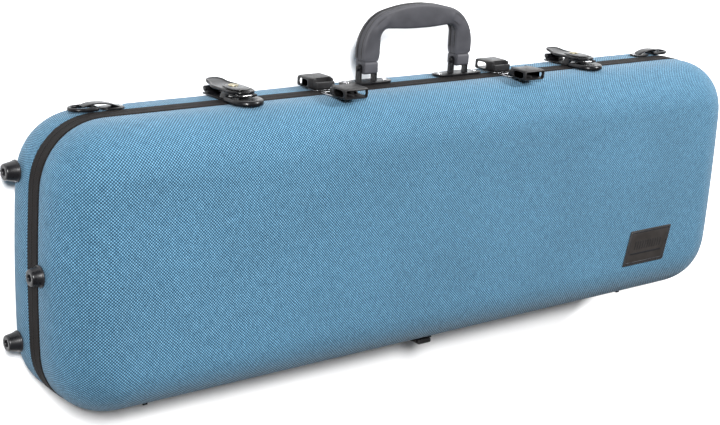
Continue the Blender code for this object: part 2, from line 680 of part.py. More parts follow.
def make_hinge(side, x):
    """Three-knuckle hinge, drawn round x = 0 and moved to its place."""
    shift = Matrix.Translation((x * MM, 0.0, 0.0))
    low_x, high_x = -HINGE_LONG / 2, HINGE_LONG / 2
    base = add_object("hinge_leaf_base_" + side,
                      prism(leaf_outline(40.0, SEAM_Z - 3.4), 1, -(MOUNT_Y + 1.2), -MOUNT_Y),
                      "black_steel")
    for x0, x1 in ((low_x, low_x + KNUCKLE - GAP), (high_x - KNUCKLE + GAP, high_x)):
        boolean(base, knuckle(x0, x1), "UNION")
        boolean(base, web(x0, x1, SEAM_Z - 12.0, SEAM_Z), "UNION")
    lid = add_object("hinge_leaf_lid_" + side,
                     prism(leaf_outline(SEAM_Z + 3.4, SEAM_Z + 17.0), 1, -(MOUNT_Y + 1.2), -MOUNT_Y),
                     "black_steel")
    boolean(lid, box((-TONGUE_HALF, TONGUE_HALF), (-(MOUNT_Y + 2.0), -(MOUNT_Y + 0.1)),
                     (SEAM_Z + 14.0, TONGUE_TOP)), "UNION")
    boolean(lid, knuckle(low_x + KNUCKLE, high_x - KNUCKLE), "UNION")
    boolean(lid, web(low_x + KNUCKLE, high_x - KNUCKLE, SEAM_Z, SEAM_Z + 12.0), "UNION")
    for obj in (base, lid):
        boolean(obj, rod((low_x - 5, HINGE_Y, SEAM_Z), (high_x + 5, HINGE_Y, SEAM_Z),
                         HINGE_PIN_R + 0.12, 16))
        obj.data.transform(shift)
    pin = add_object("hinge_pin_" + side,
                     rod((low_x + 0.5, HINGE_Y, SEAM_Z), (high_x - 0.5, HINGE_Y, SEAM_Z),
                         HINGE_PIN_R, 16), "bright_steel")
    pin.data.transform(shift)
    lid.data.transform(Matrix.Translation(-Vector(lid_axis()) * MM))
    lid.location = Vector(lid_axis()) * MM


def make_bumper(name, y, z, base_x, origin=(0, 0, 0)):
    """Hollow tapered rubber bumper that points to -X."""
    levels = [(base_x, BUMPER_BASE_R), (base_x - 2.0, BUMPER_BASE_R),
              (BUMPER_TIP_X + 1.2, BUMPER_TIP_R + 0.5), (BUMPER_TIP_X, BUMPER_TIP_R - 0.8),
              (BUMPER_TIP_X, BUMPER_HOLE_R), (base_x - 3.0, BUMPER_HOLE_R)]
    rings = [[(x, y + a, z + b) for a, b in circle((0, 0), r, 24)] for x, r in levels]
    add_object(name, loft(rings), "bumper_rubber", origin)


def make_label():
    half_w, half_h = LABEL_SIZE[0] / 2, LABEL_SIZE[1] / 2
    flat = rounded_rect((-half_w, half_w), (-half_h, half_h), 1.2, 4)
    plan = [(LABEL_MIDDLE[0] + x + LABEL_LEAN * y, LABEL_MIDDLE[1] + y) for x, y in flat]
    bm = prism(plan, 2, HEIGHT + GAP, HEIGHT + GAP + 1.0)
    add_object("label_patch", bm, "label_rubber", lid_axis())


def main():
    clear_scene()
    make_materials()
    make_shells()
    make_bed()
    make_neck_rest()
    make_compartment_lid()
    make_bow_holders()
    make_handle_plates()
    make_handle()
    for side, sign in (("left", -1), ("right", 1)):
        make_latch_frame(side, sign * LATCH_X)
        make_latch_lever(side, sign * LATCH_X)
        make_latch_strike(side, sign * LATCH_X)
        make_ring_plate(side, sign * RING_BAR_X, -sign)
        make_strap_ring(side, sign * RING_BAR_X, -sign)
    make_hinge("left", HINGE_LEFT_X)
    make_hinge("right", HINGE_RIGHT_X)
    make_sockets()
    make_strap_loop()
    make_bumper("bumper_upper", 78.0, 33.0, -404.3)
    make_bumper("bumper_lower", -70.7, 33.8, -404.6)
    make_bumper("bumper_middle", 0.7, 78.2, -406.4, lid_axis())
    make_label()


main()
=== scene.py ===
"""Looks of a violin case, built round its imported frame.

Row frame in metres: X along the length, +Y towards the handle, +Z up through the lid.
Shapes are worked out in millimetres and written in metres.
"""
import json
import math
import bmesh
import bpy
import numpy as np
from mathutils import Matrix, Vector, noise

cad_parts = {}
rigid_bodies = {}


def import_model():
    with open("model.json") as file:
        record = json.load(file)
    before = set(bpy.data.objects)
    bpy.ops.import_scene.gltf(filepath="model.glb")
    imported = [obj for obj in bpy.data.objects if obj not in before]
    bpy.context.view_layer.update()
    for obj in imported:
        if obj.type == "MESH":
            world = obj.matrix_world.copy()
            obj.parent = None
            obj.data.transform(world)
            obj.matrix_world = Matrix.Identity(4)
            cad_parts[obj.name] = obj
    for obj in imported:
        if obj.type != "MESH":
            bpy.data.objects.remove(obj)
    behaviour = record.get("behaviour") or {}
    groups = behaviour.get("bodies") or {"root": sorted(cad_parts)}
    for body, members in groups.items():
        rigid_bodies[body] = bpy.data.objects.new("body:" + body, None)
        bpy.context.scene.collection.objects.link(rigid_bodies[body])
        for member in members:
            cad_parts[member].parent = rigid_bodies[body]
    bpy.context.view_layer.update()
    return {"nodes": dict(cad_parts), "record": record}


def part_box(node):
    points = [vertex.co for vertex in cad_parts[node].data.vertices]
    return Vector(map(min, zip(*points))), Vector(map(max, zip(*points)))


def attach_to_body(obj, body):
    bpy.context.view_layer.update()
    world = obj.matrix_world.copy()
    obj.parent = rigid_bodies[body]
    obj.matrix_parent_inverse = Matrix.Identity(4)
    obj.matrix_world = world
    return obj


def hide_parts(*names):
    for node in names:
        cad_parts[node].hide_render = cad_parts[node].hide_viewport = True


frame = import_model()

scene = bpy.context.scene

MM = 0.001
ALONG = Vector((1.0, 0.0, 0.0))
OUT = Vector((0.0, 1.0, 0.0))
UP = Vector((0.0, 0.0, 1.0))
WELD = 0.000004
CORNER_R = 57.6
CORNER_POWER = 2.27
END_BOW = 5.0
BASE_EDGE_R = 38.0
LID_EDGE_R = 45.0
CLOTH_THICK = 4.0
LINING_THICK = 3.0
SWELL_FRAMES = 20
THREAD_PITCH = 0.00138
RIB_PITCH = 0.0011
CROSS_PITCH = 0.0016


def extent(node):
    """Lowest and highest corner of a frame node, in millimetres."""
    low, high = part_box(node)
    return low / MM, high / MM


def centre(node):
    low, high = extent(node)
    return (low + high) / 2


LID_LOW, LID_HIGH = extent("lid_shell")
BASE_TOP = extent("base_shell")[1].z
HALF_W = LID_HIGH.y
HALF_L = LID_HIGH.x - END_BOW
HEIGHT = LID_HIGH.z
SEAM = (extent("base_rim")[1].z + extent("lid_rim")[0].z) / 2
NODE_BODY = {n: b for b, ns in frame["record"]["behaviour"]["bodies"].items() for n in ns}
SLOT_OF = {s["node"]: s["material_slot"] for s in frame["record"]["subparts"]}


# ----- materials

class Graph:
    """A node material with short ways to wire maths, noise and colour together."""

    def __init__(self, name, **fixed):
        self.mat = bpy.data.materials.new(name)
        self.mat.use_nodes = True
        self.tree = self.mat.node_tree
        self.shader = self.tree.nodes["Principled BSDF"]
        for socket, value in fixed.items():
            self.shader.inputs[socket.replace("_", " ")].default_value = value

    def put(self, socket, value):
        if isinstance(value, bpy.types.NodeSocket):
            self.tree.links.new(value, socket)
        elif isinstance(value, tuple) and len(value) == 3 and len(socket.default_value) == 4:
            socket.default_value = (*value, 1.0)
        else:
            socket.default_value = value

    def node(self, kind, inputs=None, **props):
        made = self.tree.nodes.new("ShaderNode" + kind)
        for key, value in props.items():
            setattr(made, key, value)
        for key, value in (inputs or {}).items():
            self.put(made.inputs[key], value)
        return made

    def math(self, op, a, b=0.0):
        return self.node("Math", {0: a, 1: b}, operation=op).outputs[0]

    def add(self, a, b):
        return self.math("ADD", a, b)

    def sub(self, a, b):
        return self.math("SUBTRACT", a, b)

    def mul(self, a, b):
        return self.math("MULTIPLY", a, b)

    def place(self, scale=(1.0, 1.0, 1.0)):
        where = self.node("TexCoord").outputs["Object"]
        return self.node("Mapping", {"Vector": where, "Scale": scale}).outputs[0]

    def uv(self):
        split = self.node("SeparateXYZ", {0: self.node("UVMap", uv_map="cloth").outputs[0]})
        return split.outputs[0], split.outputs[1]

    def join(self, x, y, z=0.0):
        return self.node("CombineXYZ", {0: x, 1: y, 2: z}).outputs[0]

    def noise(self, where, scale, detail, rough=0.5):
        return self.node("TexNoise", {"Vector": where, "Scale": scale, "Detail": detail,
                                      "Roughness": rough}).outputs[0]

    def grain(self, scale, detail, rough=0.5):
        return self.noise(self.place(), scale, detail, rough)

    def ramp(self, value, low, high, out_low=0.0, out_high=1.0):
        return self.node("MapRange", {"Value": value, "From Min": low, "From Max": high,
                                      "To Min": out_low, "To Max": out_high}).outputs[0]

    def edges(self, low, high, out_low=0.0, out_high=1.0):
        """Ramp over how far the surface stands out (above a half) or is sunk (below it)."""
        stand = self.node("NewGeometry").outputs["Pointiness"]
        return self.ramp(stand, low, high, out_low, out_high)

    def mix(self, share, a, b, blend="MIX"):
        made = self.node("Mix", data_type="RGBA", blend_type=blend)
        self.put(made.inputs[0], share)
        self.put(made.inputs[6], a)
        self.put(made.inputs[7], b)
        return made.outputs[2]

    def bump(self, height, distance, strength, after=None):
        made = self.node("Bump", {"Height": height, "Distance": distance, "Strength": strength})
        if after is not None:
            self.put(made.inputs["Normal"], after)
        return made.outputs["Normal"]

    def finish(self, colour, rough, normal=None):
        self.put(self.shader.inputs["Base Color"], colour)
        self.put(self.shader.inputs["Roughness"], rough)
        if normal is not None:
            self.put(self.shader.inputs["Normal"], normal)
        return self.mat


def woven_cloth():
    """Two-tone plain weave: pale threads one way, deep blue threads the other."""
    g = Graph("woven_cloth", Sheen_Weight=0.07, Sheen_Roughness=0.45, Specular_IOR_Level=0.18)
    u, v = g.uv()
    wander = g.grain(60.0, 1.0)
    drift = g.mul(g.sub(wander, 0.5), 0.9)
    cu = g.add(g.math("DIVIDE", u, THREAD_PITCH), drift)
    cv = g.add(g.math("DIVIDE", v, THREAD_PITCH), drift)
    iu, iv = g.math("FLOOR", cu), g.math("FLOOR", cv)
    fu, fv = g.math("FRACT", cu), g.math("FRACT", cv)
    odd = g.math("FLOORED_MODULO", g.add(iu, iv), 2.0)

    def hump(f, depth):
        x = g.sub(g.mul(f, 2.0), 1.0)
        return g.sub(1.0, g.mul(g.mul(x, x), depth))

    warp_h = g.mul(hump(fu, 0.85), hump(fv, 0.5))
    weft_h = g.mul(hump(fv, 0.85), hump(fu, 0.5))
    height = g.node("Mix", {0: odd, 2: warp_h, 3: weft_h}, data_type="FLOAT").outputs[0]
    warp_tone = g.noise(g.join(g.mul(iu, 0.73), g.mul(cv, 0.16)), 1.0, 2.0)
    weft_tone = g.noise(g.join(g.mul(cu, 0.16), g.mul(iv, 0.73), 7.0), 1.0, 2.0)
    warp = g.mix(g.ramp(warp_tone, 0.30, 0.70), (0.072, 0.182, 0.282), (0.119, 0.268, 0.395))
    weft = g.mix(g.ramp(weft_tone, 0.30, 0.70), (0.005, 0.027, 0.052), (0.015, 0.056, 0.096))
    colour = g.mix(odd, warp, weft)
    # Painted shade: each thread is darkened towards its edges by its height, so the dips between
    # threads read darker
    painted_thread_shade = g.ramp(height, 0.15, 0.75, 0.42, 1.0)
    patch = g.ramp(g.grain(9.0, 3.0), 0.35, 0.65, 0.94, 1.06)
    mottle = g.ramp(g.grain(230.0, 2.0, 0.6), 0.3, 0.7, 0.93, 1.07)
    tone = g.mul(g.mul(painted_thread_shade, patch), mottle)
    colour = g.mix(1.0, colour, g.node("CombineColor", {0: tone, 1: tone, 2: tone}).outputs[0],
                   "MULTIPLY")
    fuzz = g.grain(2600.0, 2.0, 0.7)
    normal = g.bump(height, 0.00030, 0.75, g.bump(fuzz, 0.00012, 0.6))
    return g.finish(colour, g.ramp(fuzz, 0.2, 0.8, 0.72, 0.92), normal)


def tape():
    """Close-ribbed dark binding tape."""
    g = Graph("binding_tape", Specular_IOR_Level=0.11)
    u, v = g.uv()
    rib = g.math("SINE", g.mul(u, 2.0 * math.pi / RIB_PITCH))
    step = g.mul(g.math("FLOOR", g.math("DIVIDE", u, RIB_PITCH)), math.pi)
    cross = g.math("SINE", g.add(g.mul(v, 2.0 * math.pi / CROSS_PITCH), step))
    weave = g.add(g.mul(rib, 0.5), g.mul(cross, 0.5))
    fleck = g.grain(420.0, 3.0, 0.65)
    # Painted shade along the ribs: colour runs lighter on rib tops and darker in the furrows by rib
    # height, mixed with random dark and light flecks
    light = g.add(g.mul(weave, 0.16), fleck)
    colour = g.mix(g.ramp(light, 0.35, 0.8), (0.0024, 0.0022, 0.0024), (0.0178, 0.0150, 0.0142))
    normal = g.bump(weave, 0.00022, 0.8, g.bump(fleck, 0.00025, 0.5))
    return g.finish(colour, g.ramp(fleck, 0.3, 0.7, 0.68, 0.88), normal)


def moulded(name, dark, light, rough, grain=1900.0, depth=0.00008, shine=0.34):
    """Moulded plastic or rubber with a fine grain, handling marks, a little dust, and painted shade
    darkening its creases.
    """
    g = Graph(name, Specular_IOR_Level=shine)
    cells = g.node("TexVoronoi", {"Vector": g.place(), "Scale": grain}).outputs["Distance"]
    cloud = g.grain(55.0, 4.0, 0.6)
    fine = g.grain(900.0, 2.0, 0.6)
    colour = g.mix(g.ramp(cloud, 0.3, 0.75), dark, light)
    edge = g.edges(0.51, 0.58)
    colour = g.mix(g.mul(edge, 0.3), colour, tuple(c * 1.9 + 0.01 for c in light))
    # Painted shade: sunk places such as creases and grooves are darkened towards a deep copy of the
    # dark colour
    hollow = g.edges(0.43, 0.492, 0.82, 0.0)
    colour = g.mix(hollow, colour, tuple(c * 0.18 for c in dark))
    sheen = g.add(g.ramp(cloud, 0.25, 0.75, rough - 0.07, rough + 0.09),
                   g.ramp(fine, 0.2, 0.8, -0.04, 0.04))
    normal = g.bump(cells, depth, 0.7, g.bump(fine, depth * 1.5, 0.35))
    return g.finish(colour, sheen, normal)


def metal(name, dark, light, rough):
    """Plated metal with fine streaks, uneven polish, and edges brightened in patches: partly worn
    plating, partly a painted highlight.
    """
    g = Graph(name, Metallic=1.0)
    brushed = g.noise(g.place((260.0, 900.0, 260.0)), 1.0, 3.0, 0.6)
    cloud = g.grain(120.0, 3.0, 0.6)
    colour = g.mix(g.ramp(cloud, 0.3, 0.75), dark, light)
    edge = g.edges(0.52, 0.60)
    # Bright edges: raised edges get a lighter colour broken up by the streaks; partly worn plating,
    # partly a painted highlight along the edges
    worn = g.mul(edge, g.ramp(brushed, 0.35, 0.6))
    colour = g.mix(g.mul(worn, 0.6), colour, tuple(min(1.0, c * 3.0) for c in light))
    finish = g.add(g.ramp(cloud, 0.25, 0.75, rough * 0.75, rough * 1.3),
                    g.ramp(brushed, 0.2, 0.8, -0.03, 0.05))
    return g.finish(colour, finish, g.bump(brushed, 0.00003, 0.5))


def enamel(name, dark, light, rough):
    """Black stove enamel on steel: glossy coat, slight orange peel, a few small chips."""
    g = Graph(name, Coat_Weight=0.05, Coat_Roughness=0.10, Specular_IOR_Level=0.15)
    cloud = g.grain(140.0, 3.0, 0.6)
    peel = g.grain(700.0, 2.0, 0.5)
    colour = g.mix(g.ramp(cloud, 0.3, 0.75), dark, light)
    chips = g.ramp(g.grain(420.0, 4.0, 0.7), 0.70, 0.74)
    colour = g.mix(g.mul(chips, 0.5), colour, (0.10, 0.095, 0.09))
    finish = g.add(g.ramp(cloud, 0.25, 0.75, rough * 0.8, rough * 1.4),
                    g.ramp(peel, 0.2, 0.8, -0.03, 0.05))
    return g.finish(colour, finish, g.bump(peel, 0.00003, 0.4))


def plush(name, dark, light):
    """Short-pile plush: soft sheen, pile brushed in patches."""
    g = Graph(name, Sheen_Weight=0.45, Sheen_Roughness=0.35, Specular_IOR_Level=0.1)
    pile = g.grain(1500.0, 2.0, 0.7)
    brushed = g.grain(26.0, 3.0, 0.55)
    share = g.add(g.mul(pile, 0.6), g.mul(brushed, 0.4))
    colour = g.mix(g.ramp(share, 0.3, 0.7), dark, light)
    normal = g.bump(pile, 0.0006, 0.7, g.bump(brushed, 0.002, 0.25))
    return g.finish(colour, g.ramp(pile, 0.2, 0.8, 0.86, 1.0), normal)


def floor_material():
    g = Graph("studio_floor", Specular_IOR_Level=0.15)
    grain = g.grain(40.0, 3.0)
    colour = g.mix(grain, (0.86, 0.86, 0.87), (0.88, 0.88, 0.88))
    return g.finish(colour, g.ramp(grain, 0.3, 0.7, 0.8, 0.9))


LOOK = {
    "shell_fabric": woven_cloth(),
    "band_tape": tape(),
    "grip_plastic": moulded("grip_plastic_look", (0.026, 0.026, 0.030), (0.042, 0.042, 0.048),
                            0.58, shine=0.22),
    "black_plastic": moulded("black_plastic_look", (0.0040, 0.0040, 0.0044),
                             (0.0100, 0.0096, 0.0100), 0.42, shine=0.22),
    "black_steel": enamel("black_steel_look", (0.0022, 0.0022, 0.0028),
                          (0.0065, 0.0065, 0.0072), 0.27),
    "bright_steel": metal("bright_steel_look", (0.34, 0.34, 0.355), (0.50, 0.50, 0.515), 0.24),
    "brass_trim": metal("brass_trim_look", (0.20, 0.178, 0.118), (0.32, 0.285, 0.19), 0.34),
    "bumper_rubber": moulded("bumper_rubber_look", (0.0042, 0.0042, 0.005),
                             (0.0095, 0.0095, 0.011), 0.30, grain=1200.0, depth=0.00003),
    "label_rubber": moulded("label_rubber_look", (0.0150, 0.0132, 0.0122),
                            (0.0262, 0.0230, 0.0218), 0.62, shine=0.10),
    "plush": plush("plush_look", (0.044, 0.050, 0.060), (0.125, 0.137, 0.157)),
    "worn_steel": metal("worn_steel_look", (0.08, 0.08, 0.084), (0.20, 0.20, 0.21), 0.25),
    "piping": plush("piping_look", (0.018, 0.020, 0.025), (0.055, 0.059, 0.067)),
}


# ----- mesh helpers

def attach(obj, node, slot, look=None, extra=False):
    """Dress a piece and put it on its node's body; an extra piece leaves the node in place."""
    obj.data.materials.clear()
    obj.data.materials.append(look or LOOK[slot])
    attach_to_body(obj, NODE_BODY[node])
    if not extra:
        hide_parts(node)


def emit(name, node, geometry, sharp=40.0, slot=None, look=None, extra=False):
    """Turn (points, faces, corner uvs) in millimetres into a piece on its body."""
    points, faces, corners = geometry
    mesh = bpy.data.meshes.new(name)
    mesh.from_pydata([Vector(p) * MM for p in points], [], faces)
    if corners:
        layer = mesh.uv_layers.new(name="cloth")
        for loop, uv in zip(layer.data, corners):
            loop.uv = (uv[0] * MM, uv[1] * MM)
    return emit_mesh(name, node, mesh, sharp, slot, look, extra)


def emit_mesh(name, node, mesh, sharp, slot=None, look=None, extra=False):
    """Make a mesh into a piece, with its edges sharp past an angle."""
    bm = bmesh.new()
    bm.from_mesh(mesh)
    bmesh.ops.recalc_face_normals(bm, faces=bm.faces)
    bm.to_mesh(mesh)
    bm.free()
    mesh.shade_smooth()
    mesh.set_sharp_from_angle(angle=math.radians(sharp))
    obj = bpy.data.objects.new(name, mesh)
    scene.collection.objects.link(obj)
    attach(obj, node, slot or SLOT_OF[node], look, extra)
    return obj


def loft(rings, tube=False, along=None):
    """Skin equal rings of points; along gives each ring's uv points (one more than the ring)."""
    count = len(rings[0])
    points = [p for ring in rings for p in ring]
    faces, corners = [], []
    last = len(rings) if tube else len(rings) - 1
    for k in range(last):
        n = (k + 1) % len(rings)
        for i in range(count):
            j = (i + 1) % count
            faces.append((k * count + i, k * count + j, n * count + j, n * count + i))
            if along:
                corners += [along[k][i], along[k][i + 1], along[k + 1][i + 1], along[k + 1][i]]
    if not tube:
        for k in (0, len(rings) - 1):
            faces.append(tuple(k * count + i for i in range(count)))
            if along:
                corners += along[k][:count]
    return points, faces, corners


def merge(*parts):
    """Several closed bodies as one mesh."""
    points, faces = [], []
    for more, their_faces, _ in parts:
        start = len(points)
        points += list(more)
        faces += [tuple(i + start for i in f) for f in their_faces]
    return points, faces, []


def arc(cx, cy, radius, count, start, sweep):
    angles = [math.radians(start + sweep * i / (count - 1)) for i in range(count)]
    return [(cx + radius * math.cos(a), cy + radius * math.sin(a)) for a in angles]


def wheel(count):
    """Cosine and sine at even steps round a circle."""
    angles = [2 * math.pi * i / count for i in range(count)]
    return [(math.cos(a), math.sin(a)) for a in angles]


def round_rect(x, y, radius, count=7):
    x0, x1, y0, y1 = x[0] + radius, x[1] - radius, y[0] + radius, y[1] - radius
    out = []
    for k, (cx, cy) in enumerate(((x1, y1), (x0, y1), (x0, y0), (x1, y0))):
        out += arc(cx, cy, radius, count, 90 * k, 90)
    return out


def inward(outline, amount):
    """Outline moved inwards; points run anticlockwise."""
    out = []
    for i, p in enumerate(outline):
        a, b = Vector(outline[i - 1]), Vector(outline[(i + 1) % len(outline)])
        d = b - a
        d = d.normalized() if d.length > 1e-9 else Vector((1.0, 0.0))
        out.append((p[0] - d.y * amount, p[1] + d.x * amount))
    return out


def pad(x, y, radius, profile, place):
    """Raised rounded rectangle: profile is (inset, height) from the foot of its edge inwards."""
    rings = []
    for inset, h in profile:
        outline = round_rect((x[0] + inset, x[1] - inset), (y[0] + inset, y[1] - inset),
                             max(radius - inset, 0.15), 8)
        rings.append([place(a, b, h) for a, b in outline])
    return loft(rings)


def on_wall(wall, low):
    """Place (x, z, height) on the handle-side (+1) or hinge-side (-1) wall."""
    return lambda x, z, h: (x, wall * (low + h), z)


def refine(node, bevel, segments=2, look=None):
    """A frame node's own shape with its flats merged and its edges rounded over."""
    mesh = frame["nodes"][node].data.copy()
    bm = bmesh.new()
    bm.from_mesh(mesh)
    bmesh.ops.remove_doubles(bm, verts=bm.verts, dist=WELD)
    bmesh.ops.dissolve_limit(bm, angle_limit=math.radians(1.0), verts=bm.verts, edges=bm.edges)
    edges = [e for e in bm.edges if len(e.link_faces) == 2
             and e.calc_face_angle(0.0) > math.radians(28.0)]
    bmesh.ops.bevel(bm, geom=edges, offset=bevel * MM, segments=segments, profile=0.5,
                    affect="EDGES", clamp_overlap=True)
    bm.to_mesh(mesh)
    bm.free()
    emit_mesh(node + "_fine", node, mesh, 38.0, look=look)


def screw_shape():
    """Pan head with a cross recess, one unit in radius and height."""
    rings = []
    for r, h in ((1.0, 0.0), (1.0, 0.22), (0.94, 0.5), (0.82, 0.72), (0.66, 0.86), (0.5, 0.94),
                 (0.34, 0.98), (0.18, 1.0), (0.07, 1.0)):
        ring = []
        for c, s in wheel(32):
            x, y = r * c, r * s
            cross = min(abs(x), abs(y)) < 0.13 and r < 0.62
            ring.append((x, y, h - (0.55 if cross else 0.0)))
        rings.append(ring)
    return loft(rings)


SCREW_POINTS, SCREW_FACES, _ = screw_shape()


def screw(name, node, at, normal, radius, height, turn=0.0):
    """Pan-head screw standing on a surface."""
    spin = normal.to_track_quat("Z", "X").to_matrix() @ Matrix.Rotation(turn, 3, "Z")
    points = [Vector(at) + spin @ Vector((x * radius, y * radius, z * height))
              for x, y, z in SCREW_POINTS]
    emit(name, node, (points, SCREW_FACES, []), slot="bright_steel", sharp=50.0, extra=True)


def tube(path, radius, sides, closed=False, side=OUT):
    """Round rod along a path, its section kept square to the path."""
    rings, count = [], len(path)
    for i, p in enumerate(path):
        p = Vector(p)
        before = Vector(path[i - 1]) if (i or closed) else p
        after = Vector(path[(i + 1) % count]) if (i < count - 1 or closed) else p
        ahead = (after - before).normalized()
        out = ahead.cross(side).normalized()
        up = out.cross(ahead).normalized()
        rings.append([p + out * (radius * c) + up * (radius * s) for c, s in wheel(sides)])
    return loft(rings, tube=closed)


# ----- case body

def case_outline(inset):
    """Plan outline: soft corners, slightly bowed ends; the same point count at every inset."""
    corner, ends, sides = 18, 14, 24
    half_l, half_w = HALF_L - inset, HALF_W - inset
    radius = max(CORNER_R - inset, 4.0)
    power = 2.0 / CORNER_POWER
    raw = []
    for sx, sy, start in ((1, 1, 0), (-1, 1, 90), (-1, -1, 180), (1, -1, 270)):
        for i in range(corner + 1):
            angle = math.radians(start + 90.0 * i / corner)
            c, s = math.cos(angle), math.sin(angle)
            raw.append((sx * (half_l - radius) + radius * math.copysign(abs(c) ** power, c),
                        sy * (half_w - radius) + radius * math.copysign(abs(s) ** power, s)))
    points = []
    for i, a in enumerate(raw):
        points.append(a)
        if i % (corner + 1) == corner:
            b = raw[(i + 1) % len(raw)]
            pieces = sides if (i // (corner + 1)) % 2 == 0 else ends
            points += [(a[0] + (b[0] - a[0]) * k / pieces, a[1] + (b[1] - a[1]) * k / pieces)
                       for k in range(1, pieces)]
    return [(x + math.copysign(END_BOW, x) * bow_share(x, y), y) for x, y in points]


def case_ring(z, inset):
    return [(x, y, z) for x, y in case_outline(inset)]


def bow_share(x, y):
    along = min(abs(x) / HALF_L, 1.0) ** 6
    return along * max(0.0, 1.0 - (y / HALF_W) ** 2)


def quarter(mid, rise, inset, radius, steps):
    """(z, inset) round a soft edge, from its flat face to its side."""
    angles = [math.radians(90.0 * i / steps) for i in range(steps + 1)]
    return [(mid + rise * math.cos(a), inset + radius * (1 - math.sin(a))) for a in angles]


def shell_levels(flat_z, edge_r, open_z):
    """(z, inset, cloth run) from inside the flat face, round the soft edge, to the open rim."""
    sign = 1.0 if open_z > flat_z else -1.0
    mid = flat_z + sign * edge_r
    levels = [(flat_z, edge_r + within, -within) for within in (14.0, 3.0)]
    run, steps = edge_r * math.pi / 2, 16
    for i, (z, inset) in enumerate(quarter(mid, -sign * edge_r, 0.0, edge_r, steps)):
        levels.append((z, inset, run * i / steps))
    for tuck, inset, extra in ((1.26, 0.0, 0.0), (0.45, 0.25, 0.0), (0.0, 0.95, 0.7)):
        z = open_z - sign * tuck
        levels.append((z, inset, run + abs(z - mid) + extra))
    return levels


def cloth_shell(name, node, flat_z, edge_r, open_z):
    """Moulded half shell under one stretched piece of cloth, with a turned-in rim."""
    levels = shell_levels(flat_z, edge_r, open_z)
    start = case_outline(edge_r)
    rim = case_outline(0.0)
    lead = [(Vector(b) - Vector(a)).normalized() for a, b in zip(start, rim)]
    rings, along = [], []
    for z, inset, run in levels:
        rings.append(case_ring(z, inset))
        flat = [(a[0] + d.x * run, a[1] + d.y * run) for a, d in zip(start, lead)]
        if inset > edge_r:
            flat = case_outline(inset)
        along.append(flat + flat[:1])
    sign = 1.0 if open_z > flat_z else -1.0
    mid = flat_z + sign * edge_r
    inner_r = edge_r - CLOTH_THICK
    inner = quarter(mid, -sign * inner_r, CLOTH_THICK, inner_r, 8)[::-1]
    for z, inset in [(open_z, CLOTH_THICK)] + inner:
        rings.append(case_ring(z, inset))
        along.append(along[len(levels) - 1])
    emit(name, node, loft(rings, along=along), sharp=50.0)


def run_lengths(outline):
    total, out = 0.0, [0.0]
    for a, b in zip(outline, outline[1:] + outline[:1]):
        total += math.dist(a, b)
        out.append(total)
    return out


def tape_band(name, node):
    """Binding tape round the seam, folded over at both edges."""
    low, high = extent(node)
    proud, tuck = HALF_W - high.y, 6.0
    fold = [(0.0, tuck), (0.0, 0.55), (0.12, proud + 0.42), (0.45, proud + 0.08), (1.0, proud)]
    crisp = [(0.0, tuck), (0.0, proud + 0.25), (0.08, proud + 0.08), (0.3, proud), (1.0, proud)]
    first, last = (fold, crisp) if node == "base_rim" else (crisp, fold)
    section = [(low.z + z, inset) for z, inset in first]
    section.append(((low.z + high.z) / 2, proud + 0.05))
    section += [(high.z - z, inset) for z, inset in reversed(last)]
    run = run_lengths(case_outline(proud))
    rings, along, v = [], [], 0.0
    for k, (z, inset) in enumerate(section):
        rings.append(case_ring(z, inset))
        along.append([(r, v) for r in run])
        v += math.dist((z, inset), section[(k + 1) % len(section)])
    along.append([(r, v) for r in run])
    emit(name, node, loft(rings, tube=True, along=along), sharp=60.0)


def make_body():
    cloth_shell("lid_cloth", "lid_shell", HEIGHT, LID_EDGE_R, LID_LOW.z)
    cloth_shell("base_cloth", "base_shell", 0.0, BASE_EDGE_R, BASE_TOP)
    tape_band("lid_tape", "lid_rim")
    tape_band("base_tape", "base_rim")


# ----- hardware shapes

def turned(profile, at, axis, sides=32):
    """Lathe (radius, height) pairs about an axis that starts at a point."""
    spin = axis.to_track_quat("Z", "X").to_matrix()
    return loft([[Vector(at) + spin @ Vector((radius * c, radius * s, height))
                  for c, s in wheel(sides)] for radius, height in profile])


def plate(width, span, x, low, top, under, lift=lambda t: 0.0, rows=52):
    """Plate over a symmetric plan: its top and underside follow the distance in from its edge.

    width(t) is the half width at a height t up the wall; top and under are (distance, height)."""
    t0, t1 = span
    edge = []
    for k in range(241):
        t = t0 + (t1 - t0) * (1 - math.cos(math.pi * k / 240)) / 2
        w = width(t)
        edge += [(w, t), (-w, t)]
    for t in span:
        w = width(t)
        edge += [(w * k / 12, t) for k in range(-12, 13)]
    edge = np.array(edge)
    steps = (0.0, 0.12, 0.35, 0.7, 1.1, 1.6, 2.2, 3.0)
    rings = []
    for k in range(rows):
        t = t0 + (t1 - t0) * (1 - math.cos(math.pi * (k + 0.12) / (rows - 0.76))) / 2
        w = max(width(t), 0.05)
        scale = min(1.0, w / 5.0)
        half = [w - d * scale for d in steps]
        half += [half[-1] * share for share in (0.75, 0.5, 0.25)]
        across = half + [0.0] + [-v for v in reversed(half)]
        gap = np.hypot(edge[:, 0][None, :] - np.array(across)[:, None],
                       edge[:, 1][None, :] - t).min(1)
        upper = np.interp(gap, *zip(*top))
        lower = np.interp(gap, *zip(*under))
        rise = low + lift(t)
        ring = [(x + a, rise + h, t) for a, h in zip(across, upper)]
        ring += [(x + a, rise + h, t) for a, h in reversed(list(zip(across, lower)))]
        rings.append(ring)
    return loft(rings)


def round_end(radius, middle, sign):
    """Half width of a plan that ends in a half circle past a middle height."""
    return lambda t: math.sqrt(max(0.0, radius ** 2 - max(0.0, sign * (t - middle)) ** 2))


def both_ends(radius, low, high):
    a, b = round_end(radius, low + radius, -1.0), round_end(radius, high - radius, 1.0)
    return lambda t: min(a(t), b(t))


def smooth(share):
    share = min(1.0, max(0.0, share))
    return share * share * (3.0 - 2.0 * share)


